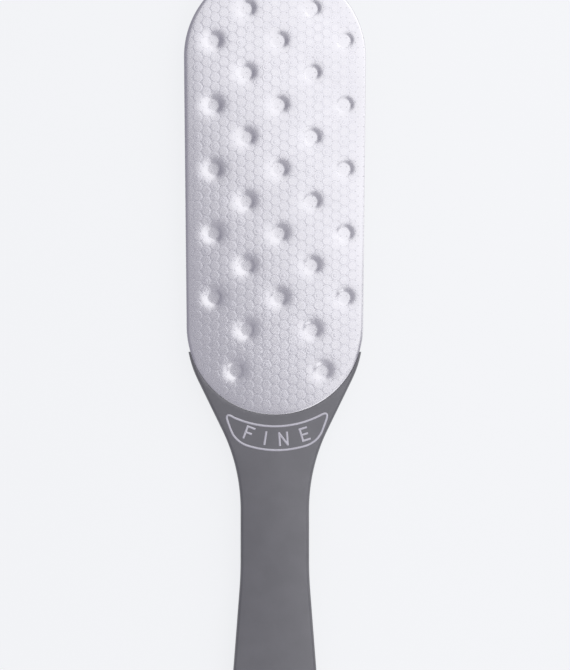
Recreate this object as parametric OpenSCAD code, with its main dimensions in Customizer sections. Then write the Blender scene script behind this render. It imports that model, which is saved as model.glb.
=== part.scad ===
// Double-sided foot file: two dimpled metal plates bonded to a plastic core whose tang runs
// through a hollow grip of two half shells. It lies flat with the fine side up. X is its width,
// Y its length with the blade towards +Y, and the origin is under the middle of the whole part.

/* [Blade] */
// Width of the blade across the centre of its rounded top end
blade_w = 50; // [44:0.5:56]
// Width of the blade across the centre of its rounded lower end
blade_low_w = 48.5; // [42:0.5:50]
// Distance between the centres of the two rounded ends
blade_centres = 74; // [66:1:90]
// Thickness of the core's panel between the plates
panel_t = 4; // [3.4:0.1:5]

/* [Plates] */
// Thickness of the metal sheet of each plate
sheet_t = 0.5; // [0.3:0.05:0.6]
// Bevel round the outer edge of a plate's face
sheet_bevel = 0.2; // [0.1:0.05:0.25]
// Thickness of the adhesive film under each plate
film_t = 0.25; // [0.1:0.05:0.4]
// How far the film stays inside the plate's outline
film_inset = 0.6; // [0.2:0.1:1.5]

/* [Dimples] */
// Diameter of a dimple's mouth
dimple_d = 7.1; // [5:0.1:8]
// Diameter of a dimple's flat bottom
dimple_flat_d = 3.8; // [2:0.1:4.5]
// Depth of a dimple
dimple_depth = 0.6; // [0.4:0.05:1]
// Distance between neighbouring dimples of one row
dimple_pitch = 18; // [16:0.1:18.5]
// Distance between neighbouring rows
dimple_row_step = 8.8; // [8:0.05:9]
// Number of rows, which hold two and three dimples in turn
dimple_rows = 11; // [3:2:11]
// Distance between the two dimples that end the pattern at the grip
dimple_end_pitch = 24; // [20:0.5:26]
// Distance of those two dimples from the first row
dimple_end_gap = 11.3; // [10:0.1:12]
// Sideways shift of the whole pattern from the blade's axis
dimple_shift = 1.1; // [0:0.1:1.5]

/* [Grip outline] */
// Distance from the centre of the blade's lower end to the butt
grip_reach = 141; // [125:1:160]
// Width of the grip at its waist
waist_w = 18.8; // [17:0.2:22]
// Radius of the round shoulders beside the blade
shoulder_r = 30; // [24:1:36]
// Radius of the hollow between the shoulders and the waist
neck_r = 50; // [40:1:55]
// Slant of the straight flank between shoulder and neck, in degrees
flank_angle = 26; // [24:0.5:30]
// Distance from the centre of the blade's lower end to where the grip widens again
flare_from = 64; // [58:1:70]
// Radius of the hollow where the grip starts to widen
flare_r = 110; // [80:5:160]
// Slant of the grip's sides towards the butt, in degrees
flare_angle = 4.4; // [3:0.1:6]

/* [Grip section] */
// Thickness of the grip in its middle
grip_t = 8.4; // [7.6:0.1:11]
// Thickness of the grip at the butt
butt_t = 7.4; // [6.6:0.1:9]
// How much the grip's faces rise from their edges to their middle
crown_rise = 0.5; // [0.2:0.05:0.8]
// Radius of the grip's edges
grip_edge_r = 0.9; // [0.5:0.05:1.3]
// Wall of the half shells
wall = 1.6; // [1.2:0.1:1.8]

/* [Joining] */
// Thickness of the core's tang inside the grip
tang_t = 2.4; // [1.8:0.1:2.6]
// Diameter of the pins that join the half shells through the tang
pin_d = 3; // [2:0.1:3.4]
// Diameter of the bosses that carry the pins and sockets
boss_d = 6.4; // [5.4:0.1:7]
// Clearance round pins, bosses and the tang
fit_gap = 0.1; // [0.05:0.05:0.2]
// Diameter of the hole for hanging the file up
hang_d = 6; // [4:0.1:6.6]
// Wall of the tube round the hanging hole
hang_wall = 1.8; // [1.4:0.1:2.2]

/* [Hidden] */
$fn = 96;

plastic_grey = [0.45, 0.45, 0.47];
core_grey = [0.3, 0.3, 0.32];
film_colour = [0.85, 0.83, 0.74];
sheet_silver = [0.83, 0.83, 0.86];

// Overrun of cuts, so that no two cut faces coincide
over = 0.5;

// The blade: its end radii, and the slant of its sides
top_r = blade_w / 2;
low_r = blade_low_w / 2;
side_slant = asin((top_r - low_r) / blade_centres);
// Half thicknesses over the middle plane, from the inside out
panel_h = panel_t / 2;
film_h = panel_h + film_t;
face_h = film_h + sheet_t;
tang_h = tang_t / 2;
grip_h = grip_t / 2;
butt_h = butt_t / 2;

// Places of the whole part: the centre of the blade's lower end, and the middle plane
overall_l = top_r + blade_centres + grip_reach;
low_y = overall_l / 2 - top_r - blade_centres;
mid_z = max(grip_h, butt_h);

// The sheet's wall under a dimple's cone, and the well that takes it
cone_angle = atan((dimple_d - dimple_flat_d) / 2 / dimple_depth);
bump_shift = sheet_t * tan(cone_angle / 2);
well_gap = 0.2;
well_d = dimple_d + 2 * (bump_shift + well_gap);
well_depth = dimple_depth - film_t + well_gap;

// The first row lies a little below the centre of the blade's lower end
first_row_share = 0.1;
first_row = -first_row_share * dimple_row_step;

// Outline of the grip, from the blade's lower end towards the butt: the shoulder's arc has its
// centre at shoulder_from, and its horns beside the blade start at horn_from
shoulder_from = 1.5;
horn_from = 7;
shoulder_x = low_r - shoulder_r;
drop_per_r = 1 - cos(flank_angle);
flank_l = (low_r - waist_w / 2 - (shoulder_r + neck_r) * drop_per_r) / sin(flank_angle);
neck_to = shoulder_from + (shoulder_r + neck_r) * sin(flank_angle)
    + flank_l * cos(flank_angle);
neck_x = waist_w / 2 + neck_r;
flare_x = waist_w / 2 + flare_r;
flare_end = [flare_x - flare_r * cos(flare_angle), flare_from + flare_r * sin(flare_angle)];
butt_r = (flare_end[0] * cos(flare_angle) + (grip_reach - flare_end[1]) * sin(flare_angle))
    / (1 + sin(flare_angle));
butt_s = grip_reach - butt_r;

// Lengthwise swell of the grip, from the plates' faces to its middle and down to the butt
level_share = 1.5;
fall_share = 0.4;
swell_from = low_r + level_share * wall;
swell_to = flare_from;
fall_from = flare_from + fall_share * (butt_s - flare_from);
flat_rise = 0.02;

// Steps of the curved stretches of the outline and of the section
shoulder_steps = 7;
flank_steps = 3;
neck_steps = 8;
flare_steps = 3;
side_steps = 6;
butt_steps = 12;
edge_steps = 4;
crown_steps = 3;

// Joints of the half shells through the tang
tang_gap = 0.3;
pin_shares = [0.12, 0.45, 0.79];
pin_reach = 1.3;
socket_spare = 0.3;
rib_t = 1.2;
rib_shares = [0.56, 0.68];
slot_w = 5;
slot_margin = 3.2;
hang_tube_r = hang_d / 2 + hang_wall;
pin_places = [for (share = pin_shares) low_r + share * (butt_s - low_r)];
rib_places = [for (share = rib_shares) low_r + share * (butt_s - low_r)];

// Part of a circle from angle a to angle b
function arc(centre, r, a, b, steps) =
    [for (i = [0:steps]) let (t = a + (b - a) * i / steps) centre + r * [cos(t), sin(t)]];

// Points between two ends, without the ends
function between(a, b, steps) = [for (i = [1:steps - 1]) a + (b - a) * i / steps];

// Smooth rise from 0 to 1
function ease(t) = let (c = max(0, min(1, t))) (1 - cos(180 * c)) / 2;

// Half thickness and crown of the grip at distance s from the blade's lower centre
function swell(s) = ease((s - swell_from) / (swell_to - swell_from));
function height_at(s) = face_h + (grip_h - face_h) * swell(s)
    - (grip_h - butt_h) * ease((s - fall_from) / (butt_s - fall_from));
function rise_at(s) = flat_rise + crown_rise * swell(s);
function roof_at(s) = max(tang_h, height_at(s) - rise_at(s) - wall);

// Stretches of the grip's outline, moved inwards by d: each point is [x, s]
function shoulder(d) = let (start = asin((horn_from - shoulder_from) / shoulder_r))
    arc([shoulder_x, shoulder_from], shoulder_r - d, start, flank_angle, shoulder_steps);
function neck(d) = arc([neck_x, neck_to], neck_r + d, 180 + flank_angle, 180, neck_steps);
function flare(d) = arc([flare_x, flare_from], flare_r + d, 180, 180 - flare_angle, flare_steps);
function butt(d) = arc([0, butt_s], butt_r - d, -flare_angle, 90, butt_steps);
function side_edge(d) = let (a = shoulder(d), b = neck(d), c = flare(d), e = butt(d))
    concat(a, between(a[shoulder_steps], b[0], flank_steps), b,
        between(b[neck_steps], c[0], flare_steps), c,
        between(c[flare_steps], e[0], side_steps));
function grip_edge(d) = concat(side_edge(d), butt(d));

// Half width of the grip where its sides run straight towards the butt
function taper_half_w(s) = flare_end[0] + (s - flare_end[1]) * tan(flare_angle);

// Section from the edge to the middle: each point is [distance from the edge, height]
function section(l, h, rise) =
    let (crown_r = (l * l + rise * rise) / (2 * rise),
        reach = l - grip_edge_r,
        turn = asin(reach / (crown_r - grip_edge_r)),
        edge_z = h - crown_r + (crown_r - grip_edge_r) * cos(turn))
    concat([[0, 0]],
        [for (i = [0:edge_steps]) let (t = (90 - turn) * i / edge_steps)
            [grip_edge_r * (1 - cos(t)), edge_z + grip_edge_r * sin(t)]],
        [for (i = [1:crown_steps - 1]) let (t = turn * (1 - i / crown_steps))
            [l - crown_r * sin(t), h - crown_r * (1 - cos(t))]]);

// Two triangles over four corners
function quad(a, b, c, d) = [[c, b, a], [d, c, a]];

// Half shell lofted over the middle plane, with its hollow: columns of points go round the
// outline, each from the foot of the edge up to the spine, and others line the hollow
module shell_loft() {
    edge = grip_edge(0);
    inner = grip_edge(wall);
    n = len(edge);
    sides = len(side_edge(0));
    open_from = shoulder_steps + 1;
    columns = 2 * n - 1;
    levels = 1 + edge_steps + crown_steps;
    spine = [for (i = [0:sides]) i < sides ? [0, edge[i][1]] : [0, butt_s]];
    function station(j) = min(j, columns - 1 - j);
    function hand(j) = j < n ? 1 : -1;
    first_spine = columns * levels;
    first_foot = first_spine + sides + 1;
    first_roof = first_foot + columns;
    points = concat(
        [for (j = [0:columns - 1])
            let (foot = edge[station(j)], head = spine[min(station(j), sides)], run = head - foot)
            for (p = section(norm(run), height_at(head[1]), rise_at(head[1])))
                let (q = foot + run * p[0] / norm(run)) [hand(j) * q[0], -q[1], p[1]]],
        [for (head = spine) [0, -head[1], height_at(head[1])]],
        [for (j = [0:columns - 1]) let (q = inner[station(j)]) [hand(j) * q[0], -q[1], 0]],
        [for (j = [0:columns - 1])
            let (q = inner[station(j)], head = spine[min(station(j), sides)])
            [hand(j) * q[0], -q[1], roof_at(head[1])]]);
    skin = [for (j = [0:columns - 2], k = [0:levels - 2])
        let (a = j * levels + k, b = a + levels) each quad(a, a + 1, b + 1, b)];
    top = [for (j = [0:columns - 2])
        let (a = j * levels + levels - 1, b = a + levels,
            c = first_spine + min(station(j), sides), e = first_spine + min(station(j + 1), sides))
        each concat([[b, c, a]], c == e ? [] : [[e, c, b]])];
    last = (columns - 1) * levels;
    cap = concat([[levels - 1, first_spine, last + levels - 1]],
        [for (k = [0:levels - 2]) each quad(last + k, last + k + 1, k + 1, k)]);
    base = [for (i = [0:open_from - 2]) let (a = i * levels, b = a + levels)
        each quad(a, b, last - b, last - a)];
    a = (open_from - 1) * levels;
    c = first_foot + open_from;
    e = first_foot + columns - 1 - open_from;
    sill = [[c, a + levels, a], [e, c, a], [last - a, e, a], [last - a - levels, e, last - a]];
    rim = [for (j = [open_from:columns - 2 - open_from]) let (f = first_foot + j)
        each quad(j * levels, (j + 1) * levels, f + 1, f)];
    lining = [for (j = [open_from:columns - 2 - open_from])
        let (f = first_foot + j, g = first_roof + j) each quad(f, f + 1, g + 1, g)];
    start = quad(c, first_roof + open_from, first_roof + columns - 1 - open_from, e);
    roof = [for (i = [open_from:n - 2])
        let (f = first_roof + i, g = first_roof + columns - 1 - i)
        each i < n - 2 ? quad(f, f + 1, g - 1, g) : [[g, f + 1, f]]];
    polyhedron(points, concat(skin, top, cap, base, sill, rim, lining, start, roof));
}

// Slab with the blade's outline, moved inwards by d, from height z up by t
module blade_slab(d, z, t) {
    upper = top_r - d;
    lower = low_r - d;
    side = [cos(side_slant), -sin(side_slant)];
    translate([0, 0, z]) {
        translate([0, blade_centres]) cylinder(r = upper, h = t);
        cylinder(r = lower, h = t);
        linear_extrude(t) polygon([[0, blade_centres] + upper * side, lower * side,
            [-lower * side[0], lower * side[1]],
            [-upper * side[0], blade_centres + upper * side[1]]]);
    }
}

// Section of the sheet from its middle out to its bevelled edge
module sheet_section(reach) {
    polygon([[0, 0], [reach, 0], [reach, sheet_t - sheet_bevel], [reach - sheet_bevel, sheet_t],
        [0, sheet_t]]);
}

// Flat sheet with the blade's outline: two turned ends and two straight sides
module sheet_blank() {
    rotate_extrude() sheet_section(low_r);
    translate([0, blade_centres]) {
        rotate_extrude() sheet_section(top_r);
        for (hand = [0, 1]) mirror([hand, 0, 0]) rotate(-side_slant) rotate([90, 0, 0])
            linear_extrude(blade_centres * cos(side_slant)) sheet_section(top_r);
    }
}

// Outline of the grip from s = from to the butt, moved inwards by d
module grip_outline(d, from) {
    edge = [for (p = grip_edge(d)) [p[0], -p[1]]];
    n = len(edge);
    intersection() {
        polygon(concat(edge, [for (i = [n - 2:-1:0]) [-edge[i][0], edge[i][1]]]));
        translate([-blade_w, -grip_reach]) square([2 * blade_w, grip_reach - from]);
    }
}

// Places of all dimples on the blade
module at_dimples() {
    for (row = [0:dimple_rows - 1]) {
        across = row % 2 == 0 ? [-0.5, 0.5] : [-1, 0, 1];
        for (i = across)
            translate([dimple_shift + i * dimple_pitch, first_row + row * dimple_row_step])
                children();
    }
    for (i = [-0.5, 0.5])
        translate([dimple_shift + i * dimple_end_pitch, first_row - dimple_end_gap]) children();
}

// Places of the pins along the tang
module at_pins() {
    for (s = pin_places) translate([0, -s]) children();
}

// Moves a piece from the blade's own frame to its place; rear pieces are turned over
module placed(rear = false) {
    translate([0, low_y, mid_z]) rotate([0, rear ? 180 : 0, 0]) children();
}

// Metal sheet seen from its face: outline, pressed dimples and bevelled edge
module sheet() {
    difference() {
        union() {
            translate([0, 0, film_h]) sheet_blank();
            at_dimples() translate([0, 0, film_h - dimple_depth])
                cylinder(d1 = dimple_flat_d + 2 * bump_shift, d2 = dimple_d + 2 * bump_shift,
                    h = dimple_depth);
        }
        at_dimples() translate([0, 0, face_h - dimple_depth]) {
            cylinder(d1 = dimple_flat_d, d2 = dimple_d, h = dimple_depth);
            translate([0, 0, dimple_depth]) cylinder(d = dimple_d, h = over);
        }
    }
}

module fine_plate() {
    color(sheet_silver) placed() sheet();
}

module coarse_plate() {
    color(sheet_silver) placed(rear = true) mirror([1, 0, 0]) sheet();
}

// Adhesive film with an opening round every dimple
module film() {
    difference() {
        blade_slab(film_inset, panel_h, film_t);
        at_dimples() translate([0, 0, panel_h - over])
            cylinder(d = well_d, h = film_t + 2 * over);
    }
}

module fine_adhesive() {
    color(film_colour) placed() film();
}

module coarse_adhesive() {
    color(film_colour) placed(rear = true) mirror([1, 0, 0]) film();
}

// Wells that take the undersides of one plate's dimples
module wells() {
    at_dimples() translate([0, 0, panel_h - well_depth]) cylinder(d = well_d, h = well_depth + over);
}

// Slots that save material in the tang, between the pins
module tang_slots() {
    stops = concat(pin_places, [butt_s - hang_tube_r + boss_d / 2]);
    for (i = [0:len(stops) - 2]) {
        from = stops[i] + slot_margin + (slot_w + boss_d) / 2;
        to = stops[i + 1] - slot_margin - (slot_w + boss_d) / 2;
        translate([0, -from]) circle(d = slot_w);
        translate([0, -to]) circle(d = slot_w);
        translate([-slot_w / 2, -to]) square([slot_w, to - from]);
    }
}

// Core: the panel between the plates, and the tang that stiffens the grip
module core() {
    color(core_grey) placed() {
        difference() {
            blade_slab(0, -panel_h, panel_t);
            wells();
            mirror([0, 0, 1]) wells();
        }
        translate([0, 0, -tang_h]) linear_extrude(tang_t) difference() {
            grip_outline(wall + tang_gap, low_r - wall);
            circle(low_r - over);
            at_pins() circle(d = pin_d + 2 * fit_gap);
            translate([0, -butt_s]) circle(hang_tube_r + fit_gap);
            tang_slots();
        }
    }
}

// Half shell of the grip before its pins: the edge that meets the plate, and the bosses
module half_shell() {
    difference() {
        shell_loft();
        blade_slab(-fit_gap, -over, grip_h + 2 * over);
    }
    for (s = pin_places) translate([0, -s, tang_h])
        cylinder(d = boss_d, h = height_at(s) - wall / 2 - tang_h);
    for (s = rib_places) translate([wall / 2 - taper_half_w(s), -s - rib_t / 2, tang_h])
        cube([2 * taper_half_w(s) - wall, rib_t, roof_at(s) - tang_h + wall / 4]);
    translate([0, -butt_s]) cylinder(r = hang_tube_r, h = butt_h - wall / 2);
}

module hang_hole() {
    translate([0, -butt_s, -over]) cylinder(d = hang_d, h = grip_h + 2 * over);
}

// Front half shell: its pins pass through the tang
module front_grip() {
    color(plastic_grey) placed() {
        difference() {
            half_shell();
            hang_hole();
        }
        at_pins() translate([0, 0, -tang_h - pin_reach]) cylinder(d = pin_d,
            h = 2 * tang_h + pin_reach + over);
    }
}

// Rear half shell: its sockets take the front shell's pins
module rear_grip() {
    color(plastic_grey) placed(rear = true) difference() {
        half_shell();
        hang_hole();
        at_pins() cylinder(d = pin_d + 2 * fit_gap, h = tang_h + pin_reach + socket_spare);
    }
}

core();
front_grip();
rear_grip();
fine_plate();
coarse_plate();
fine_adhesive();
coarse_adhesive();
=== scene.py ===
import math

import bmesh
import bpy
import numpy as np
from mathutils import Matrix, Vector
from mathutils.geometry import delaunay_2d_cdt


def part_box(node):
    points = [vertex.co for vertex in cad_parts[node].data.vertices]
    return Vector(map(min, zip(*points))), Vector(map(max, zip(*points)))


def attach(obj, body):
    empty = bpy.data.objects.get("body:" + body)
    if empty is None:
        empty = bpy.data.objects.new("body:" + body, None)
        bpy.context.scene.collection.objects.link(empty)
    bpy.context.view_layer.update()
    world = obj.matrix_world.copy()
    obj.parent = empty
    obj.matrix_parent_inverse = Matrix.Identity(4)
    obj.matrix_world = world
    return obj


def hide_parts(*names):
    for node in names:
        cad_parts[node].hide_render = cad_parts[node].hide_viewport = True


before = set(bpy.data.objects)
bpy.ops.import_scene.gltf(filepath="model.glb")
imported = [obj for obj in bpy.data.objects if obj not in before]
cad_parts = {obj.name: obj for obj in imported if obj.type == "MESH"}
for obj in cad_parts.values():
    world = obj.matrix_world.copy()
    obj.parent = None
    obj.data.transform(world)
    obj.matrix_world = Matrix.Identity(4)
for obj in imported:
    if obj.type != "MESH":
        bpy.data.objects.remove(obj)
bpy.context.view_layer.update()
MM = 0.001

# %% [markdown]
# ## The blade and grip in figures
# Both faces share one middle plane, and every outline starts from the centre of the blade's lower
# rounded end. So each piece is drawn about that centre with the middle plane as height zero, and a
# rear piece is the same drawing turned over about the file's long axis.
# %% Main sizes, in millimetres
LOW_Y = 21.0
MID_Z = 4.2
LOW_R = 24.25
TOP_R = 25.0
CENTRES = 74.0
FACE_H = 2.75
SHEET_T = 0.5
GRIP_REACH = 141.0
low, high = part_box("fine_plate")
print("blade from the CAD box:", round((high[0] - low[0]) / MM, 2), "mm wide,",
      round((high[1] - low[1]) / MM, 2), "mm long")


# %% [markdown]
# ## Camera
# The photograph looks straight down on the fine side from a good distance, and crops both ends. A
# long lens over the blade's lower half gives that view. The picture's long side is the sensor's 36 mm,
# so the distance follows from how much of the file the picture's height takes in.
# %% Set up the camera
VIEW_MM = 183.6
LENS = 85.0
SENSOR = 36.0
view_centre = Vector((2.79, 18.62, MID_Z + FACE_H)) * MM
camera_data = bpy.data.cameras.new("camera")
camera_data.lens = LENS
camera_data.sensor_width = SENSOR
camera = bpy.data.objects.new("camera", camera_data)
camera.location = view_centre + Vector((0, 0, VIEW_MM * LENS / SENSOR * MM))
bpy.context.scene.collection.objects.link(camera)
bpy.context.scene.camera = camera
print("camera", round(camera.location.z, 4), "m above the table")


# %% [markdown]
# ## Meshes from a plan
# Every piece here is a thin plate or shell that is easiest to describe from above: a plan with an
# outline and perhaps a hole, and a height over each of its points. Delaunay triangulation fills such a
# plan with even triangles, whatever the points' spacing, so fine rows can follow a dimple or an edge
# where the surface bends, and wide ones can cover what is flat.
# %% Helpers for plans
SLIVER = 1e-6
TINY = 1e-12
SEAL = 1e-5


def inside(points, loop):
    """Which of the points lie inside a closed loop."""
    x, y = points[:, 0][:, None], points[:, 1][:, None]
    a, b = loop, np.roll(loop, -1, axis=0)
    crosses = (a[:, 1] > y) != (b[:, 1] > y)
    rise = np.where(b[:, 1] == a[:, 1], TINY, b[:, 1] - a[:, 1])
    return (crosses & (x < a[:, 0] + (y - a[:, 1]) * (b[:, 0] - a[:, 0]) / rise)).sum(axis=1) % 2 == 1


def fill(loops, inner):
    """Triangles over a plan: the first loop is its outline, and the others are its holes."""
    plan = np.vstack(loops + [inner])
    edges = []
    first = 0
    for loop in loops:
        count = len(loop)
        edges += [(first + i, first + (i + 1) % count) for i in range(count)]
        first += count
    points, _, faces, *_ = delaunay_2d_cdt([Vector(p) for p in plan], edges, [], 0, SLIVER)
    points = np.array([tuple(p) for p in points])
    faces = np.array([tuple(f) for f in faces])
    middles = points[faces].mean(axis=1)
    sides = points[faces[:, 1:]] - points[faces[:, :1]]
    area = np.abs(sides[:, 0, 0] * sides[:, 1, 1] - sides[:, 0, 1] * sides[:, 1, 0])
    keep = inside(middles, loops[0]) & (area > SLIVER)
    for hole in loops[1:]:
        keep &= ~inside(middles, hole)
    return points, faces[keep]


def inset(loop, d):
    """A closed loop moved inwards by d along the mean normal of its neighbours."""
    ahead = np.roll(loop, -1, axis=0) - loop
    ahead /= np.linalg.norm(ahead, axis=1)[:, None]
    along = ahead + np.roll(ahead, 1, axis=0)
    along /= np.linalg.norm(along, axis=1)[:, None]
    return loop + d * np.column_stack([-along[:, 1], along[:, 0]])


def rounding(d, radius, wide=None):
    """How far an edge, rounded or drawn out wider, lies below its face at the distance d from it."""
    left = np.clip(radius - d * radius / (wide or radius), 0, radius)
    return radius - np.sqrt(np.maximum(radius**2 - left**2, 0))


class Drawing:
    """Points and faces of one piece, in millimetres about the blade's lower centre."""

    def __init__(self):
        self.points = []
        self.faces = []

    def add(self, plan, height):
        first = len(self.points)
        heights = np.broadcast_to(height, len(plan))
        self.points += [(p[0], p[1], h) for p, h in zip(plan, heights)]
        return first

    def cover(self, plan, height, faces, flip=False):
        first = self.add(plan, height)
        step = -1 if flip else 1
        self.faces += [tuple(int(first + i) for i in face[::step]) for face in faces]
        return first

    def band(self, a, b, count):
        for i in range(count):
            j = (i + 1) % count
            self.faces.append((a + i, a + j, b + j, b + i))

    def finish(self, name):
        """Makes the object in metres, sealed and with its faces outwards."""
        spots = (np.array(self.points) + (0, LOW_Y, MID_Z)) * MM
        mesh = bpy.data.meshes.new(name)
        mesh.from_pydata(spots.tolist(), [], self.faces)
        work = bmesh.new()
        work.from_mesh(mesh)
        bmesh.ops.remove_doubles(work, verts=work.verts, dist=SEAL * MM)
        bmesh.ops.recalc_face_normals(work, faces=work.faces)
        open_edges = sum(1 for e in work.edges if not e.is_manifold)
        work.to_mesh(mesh)
        work.free()
        mesh.shade_smooth()
        made = bpy.data.objects.new(name, mesh)
        bpy.context.scene.collection.objects.link(made)
        print(name, len(mesh.polygons), "faces,", open_edges, "open edges")
        return made


def turn_over(piece):
    """Turns a front piece's mesh about the file's long axis, to the back."""
    middle = Vector((0, 0, MID_Z * MM))
    half_turn = Matrix.Rotation(math.pi, 4, "Y")
    piece.data.transform(Matrix.Translation(middle) @ half_turn @ Matrix.Translation(-middle))
    print(piece.name, "turned over")


# %% [markdown]
# ## The blade's outline
# Two round ends, the top one a little larger, and the two lines that touch both. One function gives
# the outline as a loop, and another gives any point's distance from it, which the rolled edge and the
# border without rings both need.
# %% Blade outline
SLANT = math.asin((TOP_R - LOW_R) / CENTRES)


def blade_loop(d=0.0, spacing=0.5):
    """The blade's outline moved inwards by d, anticlockwise."""
    top = np.arange(-SLANT, math.pi + SLANT, spacing / TOP_R)
    bottom = np.arange(math.pi + SLANT, 2 * math.pi - SLANT, spacing / LOW_R)
    count = int(CENTRES / spacing)
    arcs = [
        (TOP_R - d) * np.column_stack([np.cos(top), np.sin(top)]) + (0, CENTRES),
        (LOW_R - d) * np.column_stack([np.cos(bottom), np.sin(bottom)]),
    ]
    share = np.arange(1, count)[:, None] / count
    left = arcs[0][-1] + share * (arcs[1][0] - arcs[0][-1])
    right = arcs[1][-1] + share * (arcs[0][0] - arcs[1][-1])
    return np.vstack([arcs[0], left, arcs[1], right])


def blade_gap(plan):
    """Distance of each point from the blade's outline, positive inside."""
    x, y = np.abs(plan[:, 0]), plan[:, 1]
    lean = (LOW_R - TOP_R) / CENTRES
    side = math.sqrt(1 - lean**2)
    along = -lean * x + side * y
    flank = side * x + lean * y - LOW_R
    foot = np.hypot(x, y) - LOW_R
    head = np.hypot(x, y - CENTRES) - TOP_R
    return -np.where(along < 0, foot, np.where(along > side * CENTRES, head, flank))


outline = blade_loop()
print("outline of", len(outline), "points, widest", round(2 * outline[:, 0].max(), 2), "mm")


# %% [markdown]
# ## Pressed dimples
# The sheet is pressed into shallow cups before it is glued on. Metal drawn by a punch has no sharp
# rim: the wall is steepest beside the cup's flat and runs out softly into the face. That is why each
# dimple shows a crisp crescent inside and a soft glow outside. The profile is given as the wall's
# slope at several radii, and summing it up gives the depth.
# %% Dimple profile and places
SLOPE_AT = np.array([0, 0.8, 1.25, 1.45, 1.65, 1.85, 2.15, 2.5, 2.9, 3.4, 4.0, 4.6, 5.3, 6.0])
SLOPES = np.array([0, 0.02, 0.03, 0.05, 0.14, 0.25, 0.28, 0.20, 0.12, 0.07, 0.036, 0.017, 0.005, 0])
PROFILE_POINTS = 601
radii = np.linspace(0, SLOPE_AT[-1], PROFILE_POINTS)
slopes = np.interp(radii, SLOPE_AT, SLOPES)
climb = np.concatenate([[0], np.cumsum((slopes[1:] + slopes[:-1]) / 2 * np.diff(radii))])
PRESS_DEPTH = float(climb[-1])
SHIFT = 1.1
DIMPLE_ROWS = 11
ROW_STEP = 8.8
FIRST_ROW = -0.88
DIMPLE_PITCH = 18.0
PAIR_PITCH = 24.0
PAIR_Y = -12.18


def dimple_places(shift):
    """Centres of the dimples: rows of two and three in turn, and a wider pair near the grip."""
    places = [(shift + PAIR_PITCH * hand, PAIR_Y) for hand in (-0.5, 0.5)]
    for row in range(DIMPLE_ROWS):
        for across in ((-0.5, 0.5) if row % 2 == 0 else (-1, 0, 1)):
            places.append((shift + DIMPLE_PITCH * across, FIRST_ROW + ROW_STEP * row))
    return np.array(places)


print(len(dimple_places(SHIFT)), "dimples,", round(PRESS_DEPTH, 2), "mm deep")


# %% [markdown]
# ## The metal sheets
# Each sheet is one closed skin: a face with its dimples, a softly rolled edge where the cutter went
# through, and an underside that follows the face half a millimetre below. The edge is rolled less
# where the grip's notch holds it. Rings of points round each dimple hold its wall smooth. The sheet
# also swells by a fraction of a millimetre towards its middle, as pressed sheets do, which lets light
# fade gently across it.
# %% Build a sheet
EDGE_DROP = 0.40
NOTCH_DROP = 0.12
NOTCH_FADE = (6, 11)
EDGE_WIDE = 1.1
PILLOW = 0.12
EDGE_FALL = 0.10
EDGE_REACH = 2.4
RING_RADII = [0.5, 0.9, 1.15, 1.3, 1.4, 1.5, 1.6, 1.72, 1.85, 2.0, 2.2, 2.45, 2.75, 3.1, 3.5, 4.0, 4.6,
              5.3, 6.0]
ROLL_TURNS = np.radians(np.arange(0, 91, 11.25))
RING_POINTS = 48
SHEET_LATTICE = 0.85
RING_CLEAR = 0.4
EDGE_CLEAR = 0.15


def edge_drop(plan):
    """How far the edge is rolled down: less where the grip's notch holds it, almost flush."""
    return np.interp(-plan[:, 1], NOTCH_FADE, [EDGE_DROP, NOTCH_DROP])


def sheet_height(plan, places):
    """Height of a sheet's face over the middle plane."""
    gap = np.maximum(blade_gap(plan), 0)
    height = FACE_H - PILLOW * (plan[:, 0] / TOP_R) ** 2 - EDGE_FALL * np.exp(-gap / EDGE_REACH)
    for place in places:
        away = np.hypot(*(plan - place).T)
        height -= PRESS_DEPTH - np.interp(away, radii, climb)
    return height - rounding(gap, edge_drop(plan), EDGE_WIDE)


def sheet_points(places):
    """Points inside a sheet: rings round the dimples, and an even lattice between them."""
    turns = np.linspace(0, 2 * math.pi, RING_POINTS + 1)[:-1]
    rings = [places] + [
        place + radius * np.column_stack([np.cos(turns), np.sin(turns)])
        for place in places
        for radius in RING_RADII
    ]
    x, y = np.meshgrid(np.arange(-TOP_R, TOP_R + 0.1, SHEET_LATTICE),
                       np.arange(-TOP_R, CENTRES + TOP_R + 1, SHEET_LATTICE))
    lattice = np.column_stack([x.ravel(), y.ravel()])
    nearest = np.min([np.hypot(*(lattice - place).T) for place in places], axis=0)
    plan = np.vstack(rings + [lattice[nearest > RING_RADII[-1] + RING_CLEAR]])
    return plan[blade_gap(plan) > EDGE_WIDE + EDGE_CLEAR]


def build_sheet(name, shift):
    places = dimple_places(shift)
    drawing = Drawing()
    rows = [blade_loop(EDGE_WIDE * (1 - math.cos(t))) for t in ROLL_TURNS]
    count = len(rows[0])
    plan, faces = fill([rows[-1]], sheet_points(places))
    top = sheet_height(plan, places)
    face = drawing.cover(plan, top, faces)
    under = drawing.cover(plan, top - SHEET_T, faces, flip=True)
    edge = [drawing.add(row, sheet_height(row, places)) for row in rows[:-1]]
    foot = drawing.add(rows[0], sheet_height(rows[0], places) + edge_drop(rows[0]) - SHEET_T)
    for a, b in zip([under, foot] + edge, [foot] + edge + [face]):
        drawing.band(a, b, count)
    made = drawing.finish(name)
    plan = (np.array([v.co for v in made.data.vertices]) / MM - (0, LOW_Y, MID_Z))[:, :2]
    cups = np.min([np.hypot(*(plan - place).T) for place in places], axis=0)
    for label, values in (("rim_gap", blade_gap(plan)), ("cup_gap", cups)):
        stored = made.data.attributes.new(label, "FLOAT", "POINT")
        stored.data.foreach_set("value", values.astype(np.float32))
    return made


fine_sheet = build_sheet("fine_sheet", SHIFT)
coarse_sheet = build_sheet("coarse_sheet", -SHIFT)


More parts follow.
